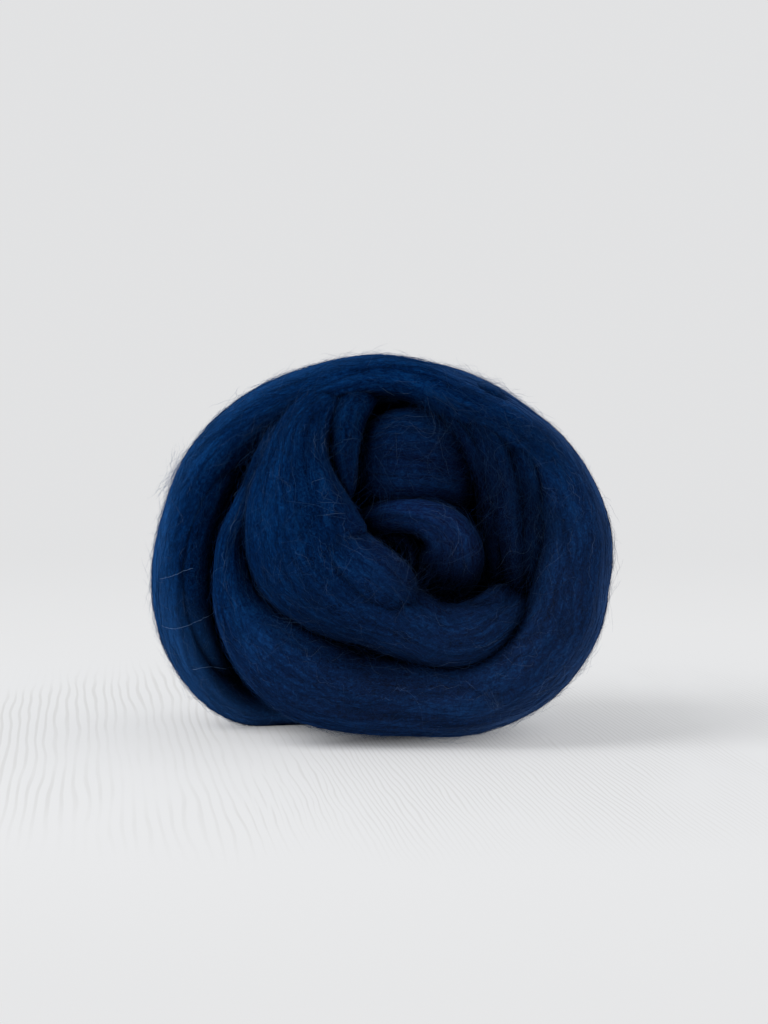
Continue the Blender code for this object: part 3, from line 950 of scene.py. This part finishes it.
# the combed fibres, then the loose hairs in the order in which they are laid
COMBED = dict(
    count=4600, length=(8, 22), step=1.8, drift=0.7, lift=(-0.08, 0.15), radius=(0.030, 0.050),
    crimp=0.10, crimp_length=4.5, turn=0.22,
)
SHORT_HAIRS = dict(
    count=8200, length=(3, 8), step=0.8, drift=0.6, lift=(0.0, 0.3), radius=(0.018, 0.030),
    crimp=0.20, crimp_length=2.6, turn=0.6, shade=(0.50, 0.28), rise=(0.0, 1.0),
)
RISEN_HAIRS = dict(
    count=1500, length=(5, 13), step=1.1, drift=1.2, lift=(0.0, 0.3), radius=(0.016, 0.024),
    crimp=0.30, crimp_length=3.6, turn=0.7, shade=(0.56, 0.22), rise=(0.5, 3.0),
)
# its hairs are paler than the others: a painted highlight on the fuzz along the outline
OUTLINE_FUZZ = dict(
    count=3000, length=(2.5, 6), step=0.9, drift=0.6, lift=(0.0, 0.2), radius=(0.014, 0.022),
    crimp=0.20, crimp_length=2.6, turn=0.9, shade=(0.62, 0.25), rise=(0.3, 1.5), outline=True,
)
KNOT_HAIRS = dict(
    count=30, length=(2, 4), step=0.4, drift=1.2, lift=(0.0, 0.4), radius=(0.016, 0.024),
    crimp=0.50, crimp_length=1.8, turn=0.9, shade=(0.75, 0.2), near=KNOT,
)
TUFT_HAIRS = dict(
    length=(6, 15), step=1.0, drift=1.6, lift=(0.0, 0.3), radius=(0.016, 0.024),
    crimp=0.45, crimp_length=3.0, turn=0.5, shade=(0.6, 0.2), rise=(1.5, 4.5),
)


def make_fibre_pieces(name, fibres, material):
    """The set of fibres, in as few pieces as keep each one under MOST_TRIANGLES."""
    pieces, waiting, used = [], [], 0
    for fibre in [*fibres, None]:
        cost = triangles_of(fibre) if fibre else 0
        if fibre is None or used + cost > MOST_TRIANGLES:
            pieces.append(make_fibre_mesh(f"{name}_{len(pieces) + 1}", waiting, material))
            waiting, used = [], 0
        if fibre is not None:
            waiting.append(fibre)
            used += cost
    return pieces


# ---------------------------------------------------------------------------
# Materials
# ---------------------------------------------------------------------------

DEEP_NAVY = (0.0003, 0.0048, 0.022, 1)
NAVY = (0.0009, 0.0148, 0.067, 1)
BRIGHT_NAVY = (0.0035, 0.038, 0.140, 1)
PAINTED_RIM_SHEEN = (0.008, 0.033, 0.092, 1)  # painted sheen, what the nap adds where the ball turns away
RIM_START = 0.66
RIM_END = 0.90
PAINTED_RIGHT_SHEEN = (0.028, 0.058, 0.135, 1)  # and more painted sheen, greyer, on the right
RIGHT_SIDE = (0.010, 0.035)  # where the right begins and where it is full, in metres
OUTER_SHARE = (0.82, 0.97)  # the same for the outer part of the face, of its half size
OWN_TURN = (0.30, 0.80)  # and for how far the surface itself turns away
BALL_HALF_SIZE = (62.5, 48.0, 51.2)
# painted reflection of the white floor, added to the colour low on the right
PAINTED_FLOOR_REFLECTION = (0.0060, 0.0050, 0.0020, 1)
FLOOR_REFLECTION_DIRECTION = (0.45, 0.0, -0.89)
FLOOR_REFLECTION_START = -0.065
FLOOR_REFLECTION_END = 0.0
INNER_HAZE = (0.0030, 0.0006, 0.0, 1)  # the wool round the hollow is a little redder
INNER_CENTRE = (0.014, -0.030, 0.060)
INNER_START = 0.034
INNER_END = 0.014
PALE_HAIR = (0.115, 0.175, 0.30, 1)
SHEEN_TINT = (0.12, 0.35, 1.0, 1)


COMBED_STOPS = ((0.0, DEEP_NAVY), (1.0, BRIGHT_NAVY), (0.5, NAVY))
LOOSE_STOPS = ((0.0, NAVY), (1.0, PALE_HAIR), (0.6, BRIGHT_NAVY))
WEB_FINISH = {
    "Roughness": 0.85,
    "Specular IOR Level": 0.0,
    "Sheen Weight": 0.08,
    "Sheen Roughness": 0.25,
    "Sheen Tint": SHEEN_TINT,
}
FIBRE_FINISH = {
    "Roughness": 0.6,
    "Specular IOR Level": 0.02,
    "Sheen Weight": 0.02,
    "Sheen Tint": SHEEN_TINT,
}
WEB_TONES = (0.40, 0.60, 0.50)  # the streaks' tones that are deepest, brightest and plain navy
STREAKS_ACROSS = 1.7  # cells per mm of the web
STREAKS_ALONG = 0.30
STREAK_SHIFT = 3.7  # from one band's streaks to the next one's
CORE_STREAKS = 50.0
# painted shade: the core's navies are darkened to this share
CORE_PAINTED_SHADE = 0.7
CRINKLE = 4.0  # how far the streaks are pushed sideways, in their own cells
FELT_SCALE = 1000.0  # cells per metre of the matted wool between the streaks
FELT_SHARE = 0.42
FINE_SHARE = 0.5
ROPE_SHARE = 0.30  # how much the broad bundles within a band differ in tone


def node(tree, kind, place, **values):
    """A node of a kind, with values for its inputs or its own settings by their names."""
    made = tree.nodes.new(kind)
    made.location = place
    for key, value in values.items():
        if key in made.inputs:
            made.inputs[key].default_value = value
        else:
            setattr(made, key, value)
    return made


def map_range(tree, place, source, start, end, low=0.0, high=1.0, kind="LINEAR"):
    """What a source has covered of the way from start to end, as a value from low to high."""
    made = node(tree, "ShaderNodeMapRange", place, interpolation_type=kind)
    for name, value in (("From Min", start), ("From Max", end), ("To Min", low), ("To Max", high)):
        made.inputs[name].default_value = value
    tree.links.new(source, made.inputs["Value"])
    return made.outputs[0]


def product(tree, place, one, other):
    made = node(tree, "ShaderNodeMath", place, operation="MULTIPLY")
    tree.links.new(one, made.inputs[0])
    tree.links.new(other, made.inputs[1])
    return made.outputs[0]


def vector_math(tree, place, operation, source, other=(0.0, 0.0, 0.0)):
    """A source worked on with a fixed vector. A measure of it comes out as a value."""
    made = node(tree, "ShaderNodeVectorMath", place, operation=operation)
    made.inputs[1].default_value = other
    tree.links.new(source, made.inputs[0])
    measured = operation in ("LENGTH", "DISTANCE", "DOT_PRODUCT")
    return made.outputs["Value" if measured else "Vector"]


def noise_texture(tree, place, source, **values):
    made = node(tree, "ShaderNodeTexNoise", place, **values)
    tree.links.new(source, made.inputs["Vector"])
    return made.outputs[0]


def mix(tree, place, share, first, second, blend=None):
    """first mixed with second by a share, each of them a socket or a value. blend is how two
    colours mix, and without it they are plain values."""
    if blend:
        made = node(tree, "ShaderNodeMix", place, data_type="RGBA", blend_type=blend)
        sockets, output = (0, 6, 7), 2
    else:
        made = node(tree, "ShaderNodeMix", place, data_type="FLOAT")
        sockets, output = (0, 2, 3), 0
    for socket, source in zip(sockets, (share, first, second)):
        if isinstance(source, bpy.types.NodeSocket):
            tree.links.new(source, made.inputs[socket])
        else:
            made.inputs[socket].default_value = source
    return made.outputs[output]


def colour_ramp(tree, place, source, stops):
    """Colours by tone. stops are positions and colours: the lowest, the highest, then others."""
    made = node(tree, "ShaderNodeValToRGB", place)
    elements = made.color_ramp.elements
    for i, (position, colour) in enumerate(stops):
        element = elements[i] if i < 2 else elements.new(position)
        element.position = position
        element.color = colour
    tree.links.new(source, made.inputs[0])
    return made.outputs[0]


def start_material(name, finish):
    """A new material, its nodes and its shader, with the finish by the shader's own names."""
    material = bpy.data.materials.new(name)
    material.use_nodes = True
    shader = material.node_tree.nodes["Principled BSDF"]
    for socket, value in finish.items():
        shader.inputs[socket].default_value = value
    return material, material.node_tree, shader


def streak_group():
    """Streaks along the fibres: a tone and a height, from the web's own map in mm."""
    group = bpy.data.node_groups.new("combed_streaks", "ShaderNodeTree")
    for name, way in (
        ("Across", "INPUT"), ("Along", "INPUT"), ("Offset", "INPUT"),
        ("Tone", "OUTPUT"), ("Height", "OUTPUT"),
    ):
        group.interface.new_socket(name, in_out=way, socket_type="NodeSocketFloat")
    given = node(group, "NodeGroupInput", (-900, 0)).outputs
    output = node(group, "NodeGroupOutput", (500, 0))
    link = group.links.new
    web = node(group, "ShaderNodeUVMap", (-900, 300), uv_map="fibre").outputs[0]
    split = node(group, "ShaderNodeSeparateXYZ", (-700, 300))
    link(web, split.inputs[0])
    across = product(group, (-500, 300), split.outputs["X"], given["Across"])
    along = product(group, (-500, 120), split.outputs["Y"], given["Along"])
    crinkle = noise_texture(group, (-500, 520), web, Scale=0.30, Detail=3.0)
    shifted = node(group, "ShaderNodeMath", (-300, 420), operation="MULTIPLY_ADD")
    shifted.inputs[1].default_value = CRINKLE
    link(crinkle, shifted.inputs[0])
    link(across, shifted.inputs[2])
    joined = node(group, "ShaderNodeCombineXYZ", (-300, 200))
    for i, source in enumerate((shifted.outputs[0], along, given["Offset"])):
        link(source, joined.inputs[i])
    place = joined.outputs[0]
    broad = noise_texture(group, (-80, 260), place, Scale=0.35, Detail=2.0, Roughness=0.55)
    fine = noise_texture(group, (-80, 0), place, Scale=1.6, Detail=3.0, Roughness=0.65)
    ropes = noise_texture(group, (-80, 520), place, Scale=0.10, Detail=1.0)
    both = mix(group, (200, 160), FINE_SHARE, broad, fine)
    bundled = mix(group, (280, 400), ROPE_SHARE, both, ropes)
    spot = node(group, "ShaderNodeTexCoord", (-300, -300)).outputs["Object"]
    felt = noise_texture(
        group, (-80, -300), spot, Scale=FELT_SCALE, Detail=4.0, Roughness=0.7, Distortion=1.2
    )
    for name, source, y in (("Tone", bundled, 160), ("Height", fine, -100)):
        link(mix(group, (350, y), FELT_SHARE, source, felt), output.inputs[name])
    return group


def right_share(tree, spot, middle, place):
    """How much of the painted greyer light a place gets: how far it lies to the right and out from
    the middle of the face, and how far its own surface turns away, multiplied."""
    x, y = place
    apart = node(tree, "ShaderNodeSeparateXYZ", (x + 200, y))
    tree.links.new(spot, apart.inputs[0])
    width, _, height = BALL_HALF_SIZE
    face_size = (1 / (width * MM), 0.0, 1 / (height * MM))
    flat = vector_math(tree, (x, y), "MULTIPLY", middle, face_size)
    outward = vector_math(tree, (x + 100, y), "LENGTH", flat)
    own_turn = node(tree, "ShaderNodeLayerWeight", (x, y - 300)).outputs["Facing"]
    side = map_range(tree, (x + 300, y), apart.outputs["X"], *RIGHT_SIDE)
    outer = map_range(tree, (x + 300, y - 200), outward, *OUTER_SHARE)
    turned = map_range(tree, (x + 300, y - 400), own_turn, *OWN_TURN)
    lying = product(tree, (x + 400, y), side, outer)
    return product(tree, (x + 500, y), lying, turned)


def finish_colour(tree, colour, shader, place):
    """Painted light on the colour: a painted sheen of the nap where the wool turns away and, on
    the right, a greyer painted light, and a painted reflection of the floor low on the right. Wool
    deep between the bands is painted darker, as shade."""
    x, y = place
    spot = node(tree, "ShaderNodeTexCoord", (x - 400, y)).outputs["Object"]
    centre = (0.0, 0.0, BALL_HALF_SIZE[2] * MM)
    in_metres = [1 / (size * MM) for size in BALL_HALF_SIZE]
    in_sizes = [1 / size for size in BALL_HALF_SIZE]
    middle = vector_math(tree, (x - 200, y + 500), "SUBTRACT", spot, centre)
    round_out = vector_math(tree, (x, y + 500), "MULTIPLY", middle, in_metres)
    square = vector_math(tree, (x + 100, y + 500), "MULTIPLY", round_out, in_sizes)
    out = vector_math(tree, (x + 200, y + 500), "NORMALIZE", square)
    turned = node(tree, "ShaderNodeLayerWeight", (x + 300, y + 500))
    tree.links.new(out, turned.inputs["Normal"])
    lean = vector_math(tree, (x + 200, y), "DOT_PRODUCT", spot, FLOOR_REFLECTION_DIRECTION)
    inner = vector_math(tree, (x + 200, y - 300), "DISTANCE", spot, INNER_CENTRE)
    right = right_share(tree, spot, middle, (x, y - 600))
    for source, kind, start, end, added, column in (
        (turned.outputs["Facing"], "LINEAR", RIM_START, RIM_END, PAINTED_RIM_SHEEN, 400),
        (right, "LINEAR", 0.0, 1.0, PAINTED_RIGHT_SHEEN, 550),
        (lean, "SMOOTHSTEP", FLOOR_REFLECTION_START, FLOOR_REFLECTION_END, PAINTED_FLOOR_REFLECTION, 700),
        (inner, "SMOOTHSTEP", INNER_START, INNER_END, INNER_HAZE, 850),
    ):
        share = map_range(tree, (x + column, y + 200), source, start, end, kind=kind)
        colour = mix(tree, (x + column, y), share, colour, added, "ADD")
    # painted light and shade: the colour times the lit attribute
    painted_lit = node(tree, "ShaderNodeAttribute", (x + 800, y + 400), attribute_name="lit")
    dark = mix(tree, (x + 1000, y), 1.0, colour, painted_lit.outputs["Fac"], "MULTIPLY")
    tree.links.new(dark, shader.inputs["Base Color"])


def web_material(name, streaks, offset, depth=1.0):
    """The combed body of a band: navy streaks, with a soft nap whose sheen is partly the shader's
    own and partly painted into the colour.
    """
    material, tree, shader = start_material(name, WEB_FINISH)
    streak = node(
        tree, "ShaderNodeGroup", (-900, 0), node_tree=streaks, Across=STREAKS_ACROSS,
        Along=STREAKS_ALONG, Offset=offset,
    )
    # depth darkens the navies: painted shade, used for the core
    navies = [[c * depth for c in navy[:3]] + [1] for navy in (DEEP_NAVY, BRIGHT_NAVY, NAVY)]
    tone = streak.outputs["Tone"]
    colour = colour_ramp(tree, (-600, 100), tone, zip(WEB_TONES, navies))
    finish_colour(tree, colour, shader, (-500, 400))
    bump = node(tree, "ShaderNodeBump", (-600, -250), Strength=0.6, Distance=0.0004)
    tree.links.new(streak.outputs["Height"], bump.inputs["Height"])
    tree.links.new(bump.outputs[0], shader.inputs["Normal"])
    return material


def fibre_material(name, stops):
    """Single fibres: each has its own shade, read from its map."""
    material, tree, shader = start_material(name, FIBRE_FINISH)
    web = node(tree, "ShaderNodeUVMap", (-900, 0), uv_map="fibre")
    split = node(tree, "ShaderNodeSeparateXYZ", (-700, 0))
    tree.links.new(web.outputs[0], split.inputs[0])
    colour = colour_ramp(tree, (-500, 0), split.outputs["X"], stops)
    finish_colour(tree, colour, shader, (-500, 400))
    return material


# ---------------------------------------------------------------------------
# The studio
# ---------------------------------------------------------------------------

BACKGROUND_LIGHT = 0.77
LEVEL_LIGHT = 0.80
OVERHEAD_LIGHT = 0.30
NEAR_FLOOR_LIGHT = 0.82  # the paper's own glow near the ball, which softens the shadow
FLOOR_ALBEDO = 0.84
GLOW_SHARE = 0.48
UNDER_BALL = (0.008, 0.050)  # the table glows from here out, so that the ball's shadow is dark
GRAIN_SPACING = (0.0027, 0.00135)  # between the painted table's grain lines, left and right
GRAIN_TURN = 7.0  # degrees that the grain leans to the left on its way back
GRAIN_DARK = 0.12
GRAIN_RUN = (1.0, 0.16, 1.0)  # the grain is drawn out from front to back
PATCH_RUN = (1.0, 0.25, 1.0)  # and so are the patches in which it shows
GRAIN_MIDDLE = (-0.05, 0.0)  # where the left lines give way to the right ones, in metres
GRAIN_LINE = (0.55, 1.0)  # the part of each wave that is a line
GRAIN_PATCH = (0.30, 0.62)
GRAIN_REACH = (0.20, 0.12)  # where the grain ends and where it is full, in metres
PAPER_TINT = (0.985, 0.99, 1.0, 1)
LAMP_TINT = (0.95, 0.975, 1.0, 1)
PAPER_FINISH = {"Roughness": 0.7, "Specular IOR Level": 0.2}
GLOW_START = 0.05  # from here the table's glow grows, and the distances at which it is full
GLOW_REACH = 0.30
LIGHT_REACH = 0.75
FLOOR_RADIUS = 12.0
FLOOR_DROP = 0.0002


def grey(value):
    return (value, value, value, 1)


def grain_tint(tree, spot):
    """The painted wood's grain: fine lines from front to back, which fade away from the ball."""
    link = tree.links.new
    stretch = node(tree, "ShaderNodeMapping", (-1700, 300), Scale=GRAIN_RUN)
    lean = (0, 0, math.radians(-GRAIN_TURN))
    leaning = node(tree, "ShaderNodeMapping", (-1900, 300), Rotation=lean)
    slow = node(tree, "ShaderNodeMapping", (-1700, 900), Scale=PATCH_RUN)
    link(spot, leaning.inputs["Vector"])
    link(leaning.outputs[0], stretch.inputs["Vector"])
    link(spot, slow.inputs["Vector"])
    waves = []
    for spacing, y in zip(GRAIN_SPACING, (300, 0)):
        wave = node(
            tree, "ShaderNodeTexWave", (-1500, y), Scale=0.1 * math.pi / spacing,
            Distortion=9.0, Detail=2.0,
        )
        wave.inputs["Detail Scale"].default_value = 0.45
        link(stretch.outputs[0], wave.inputs["Vector"])
        waves.append(wave.outputs["Fac"])
    split = node(tree, "ShaderNodeSeparateXYZ", (-1500, 600))
    link(spot, split.inputs[0])
    patch = noise_texture(tree, (-1500, 900), slow.outputs[0], Scale=24.0, Detail=3.0)
    reach = vector_math(tree, (-1500, 1200), "LENGTH", spot)
    right = map_range(tree, (-1100, 300), split.outputs["X"], *GRAIN_MIDDLE, kind="SMOOTHSTEP")
    both = mix(tree, (-1100, 0), right, *waves)
    dark = map_range(tree, (-1100, 150), both, *GRAIN_LINE, kind="SMOOTHSTEP")
    for source, ends, y in ((patch, GRAIN_PATCH, 600), (reach, GRAIN_REACH, 300)):
        share = map_range(tree, (-1100, y), source, *ends, kind="SMOOTHSTEP")
        dark = product(tree, (-800, y), dark, share)
    return mix(tree, (-500, 400), dark, PAPER_TINT, grey(1 - GRAIN_DARK), "MIX")


def make_floor():
    """The painted table, which glows so that it runs into the white behind it."""
    bpy.ops.object.select_all(action="DESELECT")
    bpy.ops.mesh.primitive_circle_add(
        vertices=96, radius=FLOOR_RADIUS, fill_type="NGON", location=(0, 0, -FLOOR_DROP)
    )
    floor = bpy.context.object
    floor.name = "studio_floor"
    bpy.ops.object.transform_apply(location=True, rotation=True, scale=True)
    material, tree, shader = start_material("studio_paper", PAPER_FINISH)
    spot = node(tree, "ShaderNodeTexCoord", (-700, -200)).outputs["Object"]
    away = vector_math(tree, (-500, -200), "LENGTH", spot)
    spread = map_range(
        tree, (-300, -200), away, GLOW_START, GLOW_REACH, GLOW_SHARE, 1.0, "SMOOTHSTEP"
    )
    strength = map_range(
        tree, (-300, -450), away, GLOW_START, LIGHT_REACH, NEAR_FLOOR_LIGHT, BACKGROUND_LIGHT,
        "SMOOTHSTEP",
    )
    clear = map_range(tree, (-300, 50), away, *UNDER_BALL, kind="SMOOTHSTEP")
    grain = grain_tint(tree, spot)
    glow = node(tree, "ShaderNodeEmission", (0, -400))
    surface = node(tree, "ShaderNodeMixShader", (300, 0))
    for source, socket in (
        (strength, glow.inputs["Strength"]),
        (grain, glow.inputs["Color"]),
        (mix(tree, (-200, 200), 1.0, grey(FLOOR_ALBEDO), grain, "MULTIPLY"),
         shader.inputs["Base Color"]),
        (product(tree, (-100, 50), spread, clear), surface.inputs[0]),
        (shader.outputs[0], surface.inputs[1]),
        (glow.outputs[0], surface.inputs[2]),
        (surface.outputs[0], tree.nodes["Material Output"].inputs["Surface"]),
    ):
        tree.links.new(source, socket)
    floor.data.materials.append(material)


def make_world():
    """An even light from all round, dimmer overhead, behind which the background is white."""
    world = bpy.data.worlds.new("studio")
    bpy.context.scene.world = world
    world.use_nodes = True
    tree = world.node_tree
    link = tree.links.new
    light = tree.nodes["Background"]
    light.inputs["Color"].default_value = LAMP_TINT
    up = node(tree, "ShaderNodeTexCoord", (-900, -100))
    split = node(tree, "ShaderNodeSeparateXYZ", (-700, -100))
    link(up.outputs["Generated"], split.inputs[0])
    dim = map_range(
        tree, (-500, -100), split.outputs["Z"], 0.0, 1.0, LEVEL_LIGHT, OVERHEAD_LIGHT
    )
    link(dim, light.inputs["Strength"])
    seen = node(
        tree, "ShaderNodeBackground", (0, -200), Color=PAPER_TINT, Strength=BACKGROUND_LIGHT
    )
    path = node(tree, "ShaderNodeLightPath", (-300, 200))
    both = node(tree, "ShaderNodeMixShader", (300, 0))
    link(path.outputs["Is Camera Ray"], both.inputs[0])
    link(light.outputs[0], both.inputs[1])
    link(seen.outputs[0], both.inputs[2])
    link(both.outputs[0], tree.nodes["World Output"].inputs["Surface"])


# the lamps: name, place, size and power. All of them face the ball
LAMPS = (
    ("key", (-0.85, -0.42, 0.92), 1.0, 13.0),
    ("back_fill", (0.85, 0.10, 0.35), 2.4, 5.5),
)
LAMP_TARGET = (0, 0, 0.05)


def make_lamp(name, place, size, power):
    data = bpy.data.lights.new(name, "AREA")
    data.shape = "DISK"
    data.size = size
    data.energy = power
    lamp = bpy.data.objects.new(name, data)
    bpy.context.scene.collection.objects.link(lamp)
    lamp.location = place
    lamp.rotation_mode = "QUATERNION"
    lamp.rotation_quaternion = (Vector(LAMP_TARGET) - Vector(place)).to_track_quat("-Z", "Y")


CAMERA_PLACE = (0.0013, -0.660, 0.095)
CAMERA_TILT = 3.06  # degrees down
CAMERA_LENS = 85.0


def make_camera():
    data = bpy.data.cameras.new("camera")
    data.lens = CAMERA_LENS
    data.sensor_width = 36.0
    data.clip_start = 0.01
    camera = bpy.data.objects.new("camera", data)
    bpy.context.scene.collection.objects.link(camera)
    camera.location = CAMERA_PLACE
    camera.rotation_euler = (math.radians(90 - CAMERA_TILT), 0, 0)
    bpy.context.scene.camera = camera


# ---------------------------------------------------------------------------
# The ball
# ---------------------------------------------------------------------------


def wind_ball():
    """Every band of the ball, from the long outer one to the short folds on the face."""
    outer = [place_outer_row(row) for row in LONG_BAND]
    under = [place_outer_row(row) for row in UNDER_BAND]
    left = [place_outer_row(row) for row in LEFT_FOLD]
    # each band's shade is painted shade, lower for bands that lie deep or out of the light; the
    # curl is painted lighter
    return [
        Band("long_band", outer, WINDING_CENTRE, twist=0.004, shade=0.97),
        Band("under_band", under, WINDING_CENTRE, twist=-0.004),
        Band("left_fold", left, WINDING_CENTRE, twist=0.006, grooves=1.4, shade=0.9),
        Band("right_fold", RIGHT_FOLD, (20, 40, 50), twist=0.006),
        Band("lobe", LOBE, (-4, 40, 53), twist=0.010, shade=0.90),
        Band("nose", NOSE, (-8, 40, 50), twist=0.010, shade=0.9),
        Band("inner_turn", INNER_TURN, (0, 40, 52), shade=0.7),
        Band("thumb", THUMB, (5, 40, 52), twist=0.0, grooves=0.4, shade=0.6),
        Band("coil", COIL, (10, 30, 48), twist=0.02, shade=0.97),
        Band("curl", CURL, (8, 40, 48), twist=0.03, grooves=0.5, shade=1.1),
        Band("heel", HEEL, (10, 40, 50), twist=0.01, shade=0.85),
        *(
            Band(f"strand_{i + 1}", rows, (10, 40, 52), twist=0.01, grooves=2.0, shade=0.6)
            for i, rows in enumerate(STRANDS)
        ),
        *(
            Band(f"gather_{i + 1}", rows, (-4, 40, 50), twist=0.01, shade=0.70)
            for i, rows in enumerate(GATHERS)
        ),
        Band("back_crossing", BACK_CROSSING, (0, -10, 50), twist=0.004),
    ]


def main():
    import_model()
    bpy.ops.object.select_all(action="DESELECT")
    rng = np.random.default_rng(SEED)

    streaks = streak_group()
    pieces = []
    bands = wind_ball()
    find_openness(bands, make_tree(bands))
    for k, band in enumerate(bands):
        material = web_material(f"navy_web_{band.name}", streaks, STREAK_SHIFT * k)
        pieces.append(make_band_mesh(band, material))
    dim_web = web_material("navy_core", streaks, CORE_STREAKS, CORE_PAINTED_SHADE)
    pieces.append(make_core(dim_web))

    combed = fibre_material("combed_fibre", COMBED_STOPS)
    loose = fibre_material("loose_hair", LOOSE_STOPS)
    laid = lay_fibres(bands, rng, **COMBED)
    pieces += make_fibre_pieces("combed_fibres", laid, combed)
    hairs = []
    for hair_set in (SHORT_HAIRS, RISEN_HAIRS, OUTLINE_FUZZ, KNOT_HAIRS):
        hairs += lay_fibres(bands, rng, **hair_set)
    for *place, count in TUFTS:
        hairs += lay_fibres(bands, rng, count=count, near=place, **TUFT_HAIRS)
    front = make_tree(bands)
    hairs += lay_strays(front, rng)
    hairs += lay_wisps(front, rng)
    pieces += make_fibre_pieces("loose_hairs", hairs, loose)

    for piece in pieces:
        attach(piece, "root")
    for piece in pieces:
        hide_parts("roving_ball")

    make_floor()
    make_world()
    for lamp in LAMPS:
        make_lamp(*lamp)
    make_camera()
    bpy.context.scene.view_settings.view_transform = "Standard"


main()
